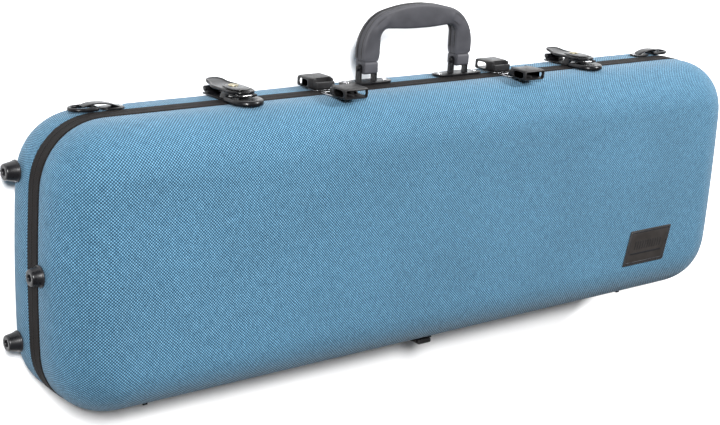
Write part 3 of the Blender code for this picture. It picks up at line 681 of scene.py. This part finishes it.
def rod_x(x0, x1, y, z, radius, chamfer=0.3):
    """Rod along X with chamfered ends."""
    profile = [(radius - chamfer, 0.0), (radius, chamfer), (radius, x1 - x0 - chamfer),
               (radius - chamfer, x1 - x0)]
    return turned(profile, (x0, y, z), ALONG, 20)


def turned_pin(node, chamfer):
    """A pin along X, as long and as thick as its solid."""
    low, high = extent(node)
    mid = centre(node)
    kind, side = node.rsplit("_", 1)
    emit(f"{kind}_turned_{side}", node,
         rod_x(low.x, high.x, mid.y, mid.z, high.z - mid.z, chamfer))
    return mid.y, mid.z


# ----- handle

def resample(path, count):
    """Evenly spaced points along an open flat path."""
    path = [Vector(p) for p in path]
    total = [0.0]
    for a, b in zip(path, path[1:]):
        total.append(total[-1] + (b - a).length)
    out, k = [], 0
    for i in range(count):
        want = total[-1] * i / (count - 1)
        while k < len(path) - 2 and total[k + 1] < want:
            k += 1
        share = (want - total[k]) / max(total[k + 1] - total[k], 1e-9)
        out.append(path[k].lerp(path[k + 1], min(1.0, share)))
    return out


def make_grip():
    """Moulded grip: crowned front and back, a lip along both edges of its outer and inner sides."""
    low, high = extent("handle_grip")
    mid_z, half_d = (low.z + high.z) / 2, (high.z - low.z) / 2
    outer_x, top = high.x, high.y
    arm_depth, bar_depth, groove = 20.4, 21.6, 0.72
    inner_x, foot = outer_x - arm_depth, low.y
    shoulder, bend, under = 38.0, 9.0, top - bar_depth
    bend_z = top - 4.0 - shoulder
    outer_arm = [(outer_x, foot), (outer_x, bend_z)]
    outer_bend = arc(outer_x - shoulder, bend_z, shoulder, 21, 0, 78)
    outer_top = [outer_bend[-1], (32.0, top - 3.6), (24.0, top - 2.0), (16.0, top - 0.9),
                 (8.0, top - 0.2), (0.0, top)]
    inner_arm = [(inner_x, foot), (inner_x, under - bend)]
    inner_bend = arc(inner_x - bend, under - bend, bend, 15, 0, 90)
    inner_top = [inner_bend[-1], (28.0, under - 0.5), (18.0, under - 1.2), (8.0, under - 1.5),
                 (0.0, under - 1.5)]
    outer = resample(outer_arm, 7)[:-1] + resample(outer_bend, 24)[:-1] + resample(outer_top, 16)
    inner = resample(inner_arm, 7)[:-1] + resample(inner_bend, 24)[:-1] + resample(inner_top, 16)
    pairs = list(zip(outer, inner))
    pairs = pairs + [(Vector((-a.x, a.y)), Vector((-b.x, b.y))) for a, b in reversed(pairs[:-1])]
    side = [(0.9, 0.0), (0.8, 0.20), (0.95, 0.34), (1.6, 0.40), (1.7, 0.44), (0.9, 0.47),
            (0.15, 0.51), (0.0, 0.58), (0.12, 0.70), (0.6, 0.80), (1.4, 0.875), (2.6, 0.92),
            (4.2, 0.945)]
    rings = []
    last = len(pairs) - 1
    for k, (a, b) in enumerate(pairs):
        width = (b - a).length
        into = (b - a) / width
        shrink = (0.9, 0.25, 0.0)[min(k, last - k, 2)]
        points = [(d + shrink, h) for d, h in side]
        points += [(width * 0.28, 0.965), (width * 0.5, 1.0), (width * 0.72, 0.965)]
        points += [(width - d - shrink, h) for d, h in reversed(side)]
        full = points + [(d, -h) for d, h in reversed(points[1:-1])]
        rings.append([(a.x + into.x * d, a.y + into.y * d, mid_z + h * (half_d - shrink))
                      for d, h in full])
    emit("grip_moulding", "handle_grip", loft(rings), sharp=34.0)
    # Dark cords laid in the grooves beside each lip: painted shade that darkens the grooves
    groove_shade_cords = []
    for face in (-0.43, 0.43):
        for edge in (0, 1):
            path = []
            for pair in pairs[2:-2]:
                into = (pair[1 - edge] - pair[edge]).normalized()
                spot = pair[edge] + into * groove
                path.append((spot.x, spot.y, mid_z + face * half_d))
            groove_shade_cords.append(tube(path, 0.85, 8, side=UP))
    emit("grip_groove_shade_cords", "handle_grip", merge(*groove_shade_cords), extra=True, sharp=60.0,
         look=LOOK["black_plastic"])


def make_handle():
    plate_thick, screw_reach = 1.75, 22.5
    make_grip()
    for side in ("left", "right"):
        refine("handle_end_" + side, 0.9, segments=3, look=LOOK["grip_plastic"])
        refine("handle_plate_" + side, 0.4)
        node = "handle_pin_" + side
        low, high = extent(node)
        long = high.x - low.x
        mid = centre(node)
        head = [(0.2, 0.0), (1.5, 0.08), (2.4, 0.32), (2.85, 0.75), (2.95, 1.25), (2.0, 1.3)]
        profile = head + [(r, long - h) for r, h in reversed(head)]
        emit("handle_pin_turned_" + side, node,
             turned(profile, (low.x, mid.y, mid.z), ALONG), sharp=50.0)
        node = "handle_plate_" + side
        mid = centre(node)
        face = extent(node)[0].y + plate_thick
        for mark, sign in (("a", -1.0), ("b", 1.0)):
            spot = (mid.x + sign * screw_reach, face, mid.z)
            screw(f"handle_plate_screw_{side}_{mark}", node, spot, OUT, 2.7, 1.3, 0.5 + sign)


# ----- latches

def make_latch(side):
    """Strike on the lid; frame, pin, kicked tray lever, its raised cover and its boss."""
    low, high = extent("latch_strike_" + side)
    x = (low.x + high.x) / 2
    half = (high.x - low.x) / 2
    nose = round_end(half, high.z - half, 1.0)
    tall = high.y - low.y
    strike = plate(nose, (low.z, high.z), x, low.y,
                   [(0, 1.5), (0.12, 2.5), (0.35, 3.2), (0.7, 3.8), (1.1, 4.2), (1.6, 4.45),
                    (2.2, 4.62), (3.0, tall), (4.2, tall), (4.8, tall - 0.5), (9.0, tall - 0.5)],
                   [(0, 1.3), (0.12, 0.7), (0.35, 0.3), (0.7, 0.0), (9, 0.0)])
    refine("latch_frame_" + side, 0.3)

    low, high = extent("latch_lever_" + side)
    front_r, tab_r, neck = 13.0, 9.4, 14.0
    clearance, kick, kick_start, kick_run = 2.7, 2.2, 40.0, 19.0
    front = round_end(front_r, high.z - front_r, 1.0)
    tab_mid = low.z + tab_r
    tab = round_end(tab_r, tab_mid, -1.0)

    def width(t):
        blend = smooth((t - tab_mid) / neck)
        return min(front(t), tab(t) + (front_r - tab_r) * blend)

    def lift(t):
        return kick * smooth((high.z - kick_start - t) / kick_run)

    tray = plate(width, (low.z, high.z), x, low.y + clearance,
                 [(0, 1.3), (0.12, 2.0), (0.35, 2.4), (0.7, 2.6), (1.1, 2.6), (1.6, 2.35),
                  (2.2, 1.9), (3.0, 1.75), (13, 1.75)],
                 [(0, 1.1), (0.12, 0.5), (0.35, 0.15), (0.7, 0.0), (13, 0.0)], lift, rows=64)
    y, z = turned_pin("latch_pin_" + side, 0.2)
    lugs = [rod_x(a, b, y, z, 1.55) for a, b in ((x - 8.2, x - 5.0), (x + 5.0, x + 8.2))]

    lo, hi = extent("latch_cover_" + side)
    cover = plate(both_ends((hi.x - lo.x) / 2, lo.z, hi.z), (lo.z, hi.z), x, lo.y,
                  [(0, 0.35), (0.12, 0.7), (0.35, 0.95), (0.7, 1.05), (1.1, 1.0), (1.6, 0.85),
                   (2.2, 1.0), (3.5, 1.2), (6.0, 1.3), (12, 1.3)],
                  [(0, 0.3), (0.35, 0.0), (12, 0.0)])
    node = "latch_boss_" + side
    mid = centre(node)
    boss = turned([(4.5, -0.1), (4.6, 0.15), (4.5, 0.45), (4.15, 0.6), (3.7, 0.5), (3.45, 0.25),
                   (3.1, 0.22), (2.8, 0.45), (2.2, 0.6), (1.2, 0.68), (0.1, 0.7)],
                  (mid.x, extent(node)[0].y, mid.z), OUT)
    for part, shape in (("strike", strike), ("lever", merge(tray, *lugs)), ("cover", cover),
                        ("boss", boss)):
        emit(f"{part}_{side}", f"latch_{part}_{side}", shape, sharp=44.0)


# ----- buckle sockets

def strip_ring(outline, width, low, high, place):
    """Flat loop of strip that follows an outline, with softened edges."""
    soft = 0.25
    inner = inward(outline, width)
    rings = []
    for a, b in zip(outline, inner):
        a, b = Vector(a), Vector(b)
        d = (b - a).normalized() * soft
        rings.append([place(*(a + d), low), place(*a, low + soft), place(*a, high - soft),
                      place(*(a + d), high), place(*(b - d), high), place(*b, high - soft),
                      place(*b, low + soft), place(*(b - d), low)])
    return loft(rings, tube=True)


def make_socket(part, side):
    """Buckle socket with a guide rib behind its window, over a worn strip loop."""
    node = f"socket_{part}_{side}"
    refine(node, 0.35)
    low, high = extent(node)
    x, foot = centre(node).x, centre(node).y - 3.3
    back, lip = 9.5, 5.0
    inside, mouth = low.z + back, high.z - lip
    if part == "base":
        inside, mouth = high.z - back, low.z + lip
    deep = mouth - inside
    rib = []
    for z, w, h in ((inside, 2.6, 2.4), (inside + deep * 0.55, 2.0, 2.2),
                    (mouth - deep * 0.1, 1.5, 1.9), (mouth, 0.8, 1.4)):
        rib.append([(px, py, z) for px, py in round_rect((x - w, x + w), (foot, foot + h), 0.5, 4)])
    emit("guide_" + node, node, loft(rib), extra=True)
    node = f"socket_plate_{part}_{side}"
    low, high = extent(node)
    ring = strip_ring(round_rect((low.x, high.x), (low.z, high.z), 4.0, 8), 2.4, low.y, high.y,
                      on_wall(1.0, 0.0))
    emit("loop_" + node, node, ring, sharp=50.0, look=LOOK["worn_steel"])


def make_sockets():
    for part in ("base", "lid"):
        for side in ("left", "right"):
            make_socket(part, side)
    refine("strap_loop_bottom", 0.35)
    low, high = extent("strap_plate_bottom")
    thin = pad((low.x, high.x), (low.z, high.z), 3.0,
               [(0.3, 0.0), (0.0, 0.25), (0.0, 0.6), (0.3, 0.9), (4.0, 0.9)],
               on_wall(-1.0, -high.y))
    emit("strap_plate_fine", "strap_plate_bottom", thin, sharp=50.0)


# ----- strap rings

def make_ring_fitting(side, way):
    """Domed keeper on a foot plate; way points from the ring to the plate."""
    low, high = extent("ring_plate_" + side)
    rlow, rhigh = extent("strap_ring_" + side)
    mid_z = (low.z + high.z) / 2
    rod = 1.7
    bar_x = rhigh.x - rod if way > 0 else rlow.x + rod
    foot = low.y

    def at(along, out, z):
        return (bar_x + way * along, foot + out, mid_z + z)

    base = pad((6.0, 27.0), (-7.2, 7.2), 5.0, [(0.3, 0.0), (0.0, 0.3), (0.0, 1.0), (0.3, 1.45),
                                               (0.9, 1.6), (4.5, 1.6)],
               lambda a, b, h: at(a, h, b))
    crest = [(-11.5, 3.3, 4.1, 3.6), (-11.0, 3.3, 4.5, 4.4), (-9.0, 3.9, 5.3, 5.0),
             (-6.6, 4.7, 5.95, 5.3), (-4.0, 5.1, 6.3, 5.4), (-1.0, 5.3, 6.5, 5.4),
             (2.0, 5.3, 6.5, 5.4), (5.0, 5.1, 6.35, 5.4), (8.0, 4.8, 6.1, 5.4),
             (11.0, 4.3, 5.6, 5.3), (14.0, 3.6, 5.0, 5.1), (17.0, 2.6, 4.1, 4.8),
             (20.0, 1.2, 3.0, 4.5), (22.5, 0.8, 2.0, 4.1), (23.8, 0.7, 1.4, 3.5)]
    rings = []
    across = [k / 6 - 1.0 for k in range(13)]
    for along, under, top, half in crest:
        droop = 0.55 * min(top - under, 1.3)
        rings.append([at(along, top - droop * abs(u) ** 3, half * math.sin(math.radians(90.0 * u)))
                      for u in across]
                     + [at(along, under, (half - 0.35) * -u) for u in across])
    emit("keeper_" + side, "ring_plate_" + side, merge(base, loft(rings)), sharp=42.0)

    arm, reach, bend = (rhigh.z - rlow.z) / 2 - rod, rhigh.x - rlow.x - 2 * rod, 2.4
    path = [(0.0, bend - arm), (0.0, -arm * 0.3), (0.0, arm * 0.3), (0.0, arm - bend)]
    path += arc(-bend, arm - bend, bend, 7, 0, 90)[1:]
    path += [(-reach * 0.3, arm), (-reach * 0.45, arm)]
    path += [(reach * (0.45 * math.cos(math.radians(a)) - 0.55), arm * math.sin(math.radians(a)))
             for a in range(96, 265, 12)]
    path += [(-reach * 0.45, -arm), (-reach * 0.3, -arm)]
    path += arc(-bend, bend - arm, bend, 7, 270, 90)[:-1]
    y = (rlow.y + rhigh.y) / 2
    ring = tube([(bar_x + way * a, y, mid_z + b) for a, b in path], rod, 16, closed=True)
    emit("ring_" + side, "strap_ring_" + side, ring, sharp=60.0)
    screw("keeper_rivet_" + side, "ring_plate_" + side, at(25.2, 1.5, 0.0), OUT, 1.6, 0.9)


# ----- hinges, bumpers, label

def make_hinge(side):
    """Two leaves, their pin, and the pan-head screws that hold them to the wall."""
    turned_pin("hinge_pin_" + side, 0.3)
    low, high = extent("hinge_leaf_base_" + side)
    leaf_thick, reach = 1.15, 20.0
    mid, face = (low.x + high.x) / 2, high.y - leaf_thick
    for part, z, spots, first, step in (("base", low.z + 7.5, (-reach, 0.0, reach), 0.0, 0.4),
                                        ("lid", SEAM + 10.5, (-reach, reach), 0.9, 1.0)):
        node = f"hinge_leaf_{part}_{side}"
        refine(node, 0.25)
        for k, dx in enumerate(spots):
            screw(f"hinge_screw_{part}_{side}_{k}", node, (mid + dx, face, z), -OUT, 2.6, 0.8,
                  first + step * k)


def make_bumper(name):
    """Flanged rubber stud with a hollow in its face."""
    low, high = extent(name)
    mid = centre(name)
    long = high.x - low.x
    profile = [(0.2, 0.0), (9.0, 0.0), (9.4, 0.35), (9.4, 1.3), (9.1, 1.75), (8.75, 1.95),
               (8.6, 2.3), (7.15, long - 1.5), (7.0, long - 0.9), (6.7, long - 0.35),
               (6.1, long - 0.05), (5.6, long), (3.9, long), (3.4, long - 0.2), (3.1, long - 0.6),
               (3.0, long - 1.2), (2.9, 3.4), (2.4, 3.0), (0.2, 3.0)]
    emit("rubber_" + name, name, turned(profile, (high.x, mid.y, mid.z), -ALONG, 48))


def make_label():
    """Leaning moulded patch with a raised border, plain ribs and one dark line."""
    low, high = extent("label_patch")
    mid = centre("label_patch")
    half_h = (high.y - low.y) / 2
    lean = 0.22
    half_w = (high.x - low.x) / 2 - lean * half_h

    def place(a, b, h):
        return (mid.x + a + lean * b, mid.y + b, low.z + h)

    body = pad((-half_w, half_w), (-half_h, half_h), 1.2,
               [(0.2, 0.0), (0.0, 0.2), (0.0, 0.75), (0.2, 0.95), (0.6, 1.0), (1.3, 0.95),
                (1.5, 0.35), (3.3, 0.35), (3.5, 0.7), (4.0, 0.75), (6.0, 0.75)], place)
    ribs, first, pitch = [], -0.62 * half_w, 0.124 * half_w
    for k in range(11):
        a = first + k * pitch
        ribs.append(pad((a - 0.8, a + 0.8), (-2.5, 7.0), 0.7,
                        [(0.0, 0.6), (0.1, 0.9), (0.35, 1.0)], place))
    rim = 1.5
    border = strip_ring(round_rect((rim - half_w, half_w - rim), (rim - half_h, half_h - rim), 0.8),
                        1.7, 0.2, 0.9, place)
    line = pad((-half_w * 0.78, half_w * 0.74), (-7.6, -5.8), 0.6,
               [(0.0, 0.6), (0.05, 0.88), (0.25, 0.96)], place)
    emit("label_moulding", "label_patch", body)
    for name, shape, look in (("label_ribs", merge(*ribs), "black_plastic"),
                              ("label_border", border, "bumper_rubber"),
                              ("label_line", line, "bumper_rubber")):
        emit(name, "label_patch", shape, look=LOOK[look], extra=True)


# ----- padded inside

def rim_loops(node, level):
    """Closed loops where a solid's flat top, at a given height, breaks down into its recesses."""
    bm = bmesh.new()
    bm.from_mesh(frame["nodes"][node].data)
    bmesh.ops.remove_doubles(bm, verts=bm.verts, dist=WELD)
    tall = level * MM
    links = {}
    for edge in bm.edges:
        if all(abs(v.co.z - tall) < 0.0002 for v in edge.verts) and len(edge.link_faces) == 2:
            flats = [f for f in edge.link_faces if f.normal.z > 0.9]
            walls = [f for f in edge.link_faces if abs(f.normal.z) < 0.3]
            if flats and walls:
                a, b = (tuple(v.co[:2]) for v in edge.verts)
                links.setdefault(a, []).append(b)
                links.setdefault(b, []).append(a)
    bm.free()
    loops = []
    while links:
        here = min(links)
        loop, back = [], None
        while here in links:
            around = links.pop(here)
            loop.append((here[0] / MM, here[1] / MM))
            onward = [q for q in around if q != back and q in links]
            if not onward:
                break
            back, here = here, onward[0]
        if len(loop) > 3:
            loops.append(loop)
    return loops


def round_loop(loop, pitch=6.0, passes=2):
    """Evenly spaced, softened points round a closed loop."""
    count = max(24, int(run_lengths(loop)[-1] / pitch))
    closed = resample(loop + loop[:1], count)[:-1]
    for _ in range(passes):
        closed = [(closed[i - 1] + p * 2 + closed[(i + 1) % len(closed)]) / 4
                  for i, p in enumerate(closed)]
    return closed


def piping(name, node, owner, loop, z, radius):
    """Covered cord along a closed loop, held by the padded piece it edges."""
    geometry = tube([(p[0], p[1], z) for p in loop], radius, 10, closed=True, side=UP)
    trim = emit(name, node, geometry, slot="plush", sharp=80.0, look=LOOK["piping"], extra=True)
    trim.parent = owner
    trim.matrix_parent_inverse.identity()


def settle(obj):
    """Keep the evaluated mesh and drop every modifier."""
    bpy.context.view_layer.update()
    graph = bpy.context.evaluated_depsgraph_get()
    mesh = bpy.data.meshes.new_from_object(obj.evaluated_get(graph))
    obj.modifiers.clear()
    obj.data = mesh


def soft_copy(name, node, voxel, ease, shrink=0.0):
    """A frame solid's shape remeshed evenly, with its edges eased over."""
    mesh = frame["nodes"][node].data.copy()
    obj = bpy.data.objects.new(name, mesh)
    scene.collection.objects.link(obj)
    if shrink:
        mid = centre(node) * MM
        low, high = extent(node)
        for v in mesh.vertices:
            for k in range(3):
                share = 1.0 - 2.0 * shrink / (high[k] - low[k])
                v.co[k] = mid[k] + (v.co[k] - mid[k]) * share
    remesh = obj.modifiers.new("even", "REMESH")
    remesh.mode = "VOXEL"
    remesh.voxel_size = voxel * MM
    eased = obj.modifiers.new("ease", "SMOOTH")
    eased.factor = 0.5
    eased.iterations = ease
    settle(obj)
    return obj


def swell(obj, cap):
    """Blow a pad up like a stuffed one, with each point's movement capped, in millimetres."""
    start = [v.co.copy() for v in obj.data.vertices]
    cloth = obj.modifiers.new("stuffing", "CLOTH")
    cloth.settings.use_pressure = True
    cloth.settings.uniform_pressure_force = 4.0
    cloth.settings.effector_weights.gravity = 0.0
    cloth.settings.quality = 5
    cloth.point_cache.frame_start = 1
    cloth.point_cache.frame_end = SWELL_FRAMES
    for tick in range(1, SWELL_FRAMES + 1):
        scene.frame_set(tick)
        bpy.context.view_layer.update()
    settle(obj)
    scene.frame_set(1)
    for v, home in zip(obj.data.vertices, start):
        step = v.co - home
        if step.length > cap * MM:
            v.co = home + step.normalized() * cap * MM


def keep_inside(obj, node):
    """Hold a pad's points within its solid's own box."""
    low, high = extent(node)
    for v in obj.data.vertices:
        for k in range(3):
            v.co[k] = min(max(v.co[k], low[k] * MM), high[k] * MM)


def pad_piece(name, node, voxel, shrink):
    """A stuffed pad in its solid's place: eased, then swollen."""
    obj = soft_copy(name, node, voxel, 2, shrink)
    swell(obj, cap=3.0)
    keep_inside(obj, node)
    obj.data.shade_smooth()
    attach(obj, node, "plush")
    fine = obj.modifiers.new("fine", "SUBSURF")
    fine.levels = fine.render_levels = 1


def make_bed():
    """Upholstered bed: eased and slightly uneven, with piping round its open recesses."""
    node, whole_length, handle_side = "violin_bed", 700.0, 40.0
    top = extent(node)[1].z
    bed = soft_copy("bed_upholstery", node, 3.0, 6)
    normals = [v.normal.copy() for v in bed.data.vertices]
    for v, normal in zip(bed.data.vertices, normals):
        wave = noise.noise(v.co * 38.0) * 0.45 + noise.noise(v.co * 120.0) * 0.2
        v.co += normal * wave * MM
    keep_inside(bed, node)
    bed.data.shade_smooth()
    attach(bed, node, "plush")
    for k, loop in enumerate(rim_loops(node, top)):
        xs, ys = zip(*loop)
        if max(xs) - min(xs) <= whole_length and min(ys) <= handle_side:
            piping(f"bed_piping_{k}", node, bed, round_loop(loop), top - 0.9, 1.5)


def make_lining():
    """Padded lid lining with a rolled edge."""
    low, high = extent("lid_lining")
    foot, side = low.z, HALF_W - high.y
    mid = HEIGHT - LID_EDGE_R
    radius = LID_EDGE_R - side
    rings = [case_ring(z, inset) for z, inset in quarter(mid, radius, side, radius, 10)]
    for z, inset in ((mid - 6.0, 0.0), (foot + 0.8, 0.0), (foot, 0.8), (foot, 3.2),
                     (foot + 0.4, 4.1), (foot + 1.3, 4.6), (foot + 2.4, 4.5), (foot + 3.3, 3.8),
                     (foot + 4.0, 3.1)):
        rings.append(case_ring(z, side + inset))
    radius -= LINING_THICK
    face = quarter(mid, radius, side + LINING_THICK, radius, 12)[::-1]
    top, edge = face[-1]
    face += [(top, edge + 8.0), (top, edge + 18.0), (top, edge + 30.0)]
    for z, inset in face:
        ring = []
        for p in case_ring(z, inset):
            spot = Vector(p)
            wave = noise.noise(spot * 0.022) * 0.7 + noise.noise(spot * 0.09) * 0.25
            ring.append((p[0], p[1], z - 0.5 + wave * 0.5))
        rings.append(ring)
    lining = emit("lining_padding", "lid_lining", loft(rings), sharp=60.0)


def make_compartment():
    """Padded compartment lid with piping round its edge."""
    node = "compartment_lid"
    low, high = extent(node)
    cover = pad((low.x, high.x), (low.y, high.y), 4.0,
                [(1.6, 0.0), (0.5, 0.35), (0.0, 1.0), (0.0, 1.8), (0.5, 2.5), (1.6, 2.8),
                 (3.6, 2.9), (8.0, 3.0)], lambda a, b, h: (a, b, low.z + h))
    lid = emit("compartment_padding", node, cover, sharp=70.0)
    edge = round_rect((low.x + 0.7, high.x - 0.7), (low.y + 0.7, high.y - 0.7), 4.0, 8)
    piping("compartment_piping", node, lid, round_loop(edge, 3.0, 1), low.z + 1.5, 0.65)


def make_inside():
    make_lining()
    make_bed()
    make_compartment()
    pad_piece("neck_cushion", "neck_rest", 2.0, 0.8)
    for side in ("left", "right"):
        pad_piece("bow_cushion_" + side, "bow_pad_" + side, 3.0, 1.0)
    for side in ("front", "rear"):
        refine("bow_button_" + side, 0.7, segments=3)


def make_hardware():
    make_handle()
    for side, way in (("left", 1.0), ("right", -1.0)):
        make_latch(side)
        make_ring_fitting(side, way)
        make_hinge(side)
    make_sockets()
    for name in ("bumper_upper", "bumper_lower", "bumper_middle"):
        make_bumper(name)
    make_label()


# ----- stage

def area(name, at, target, size, power):
    """Rectangular white lamp that faces its target."""
    data = bpy.data.lights.new(name, "AREA")
    data.shape = "RECTANGLE"
    data.size, data.size_y = size
    data.energy = power
    obj = bpy.data.objects.new(name, data)
    obj.location = at
    obj.rotation_mode = "QUATERNION"
    obj.rotation_quaternion = (Vector(target) - Vector(at)).to_track_quat("-Z", "Y")
    scene.collection.objects.link(obj)


def make_stage():
    """Round pale floor just under the case, white surroundings and three lamps."""
    floor_gap = 0.0006
    bpy.ops.mesh.primitive_circle_add(vertices=96, radius=7.0, fill_type="NGON",
                                      location=(0.0, 0.0, -floor_gap))
    floor = bpy.context.object
    floor.name = "studio_floor"
    floor.data.materials.append(floor_material())
    world = bpy.data.worlds.new("studio_world")
    world.use_nodes = True
    back = world.node_tree.nodes["Background"]
    back.inputs["Color"].default_value = (1.0, 1.0, 1.0, 1.0)
    back.inputs["Strength"].default_value = 0.11
    scene.world = world
    middle = (0.0, 0.0, 0.05)
    area("key_light", (-1.48, 1.14, 2.16), middle, (0.42, 0.38), 152.0)
    area("far_light", (1.45, 1.30, 1.36), middle, (0.50, 0.36), 91.0)
    area("side_light", (-2.2, 0.2, 0.34), (-0.35, 0.0, 0.06), (0.5, 0.5), 0.8)
    scene.view_settings.view_transform = "Standard"


def make_camera():
    """The camera looks down on the lid from the handle side, past the left end."""
    data = bpy.data.cameras.new("photo_camera")
    data.sensor_width = 36.0
    data.lens = 74.35
    data.shift_x = 0.0044
    data.shift_y = 0.0202
    data.clip_start = 0.01
    data.clip_end = 60.0
    obj = bpy.data.objects.new("photo_camera", data)
    right = Vector((0.7880, 0.0543, 0.6132))
    up = Vector((0.1365, 0.9559, -0.2601))
    back = right.cross(up).normalized()
    up = back.cross(right).normalized()
    turn = Matrix((right.normalized(), up, back)).transposed()
    obj.matrix_world = Matrix.Translation((-0.9206, 0.3997, 1.1214)) @ turn.to_4x4()
    scene.collection.objects.link(obj)
    scene.camera = obj


make_camera()
make_stage()
make_body()
make_hardware()
make_inside()

for node, obj in frame["nodes"].items():
    if not obj.hide_render:
        obj.data.materials.clear()
        obj.data.materials.append(LOOK[SLOT_OF[node]])
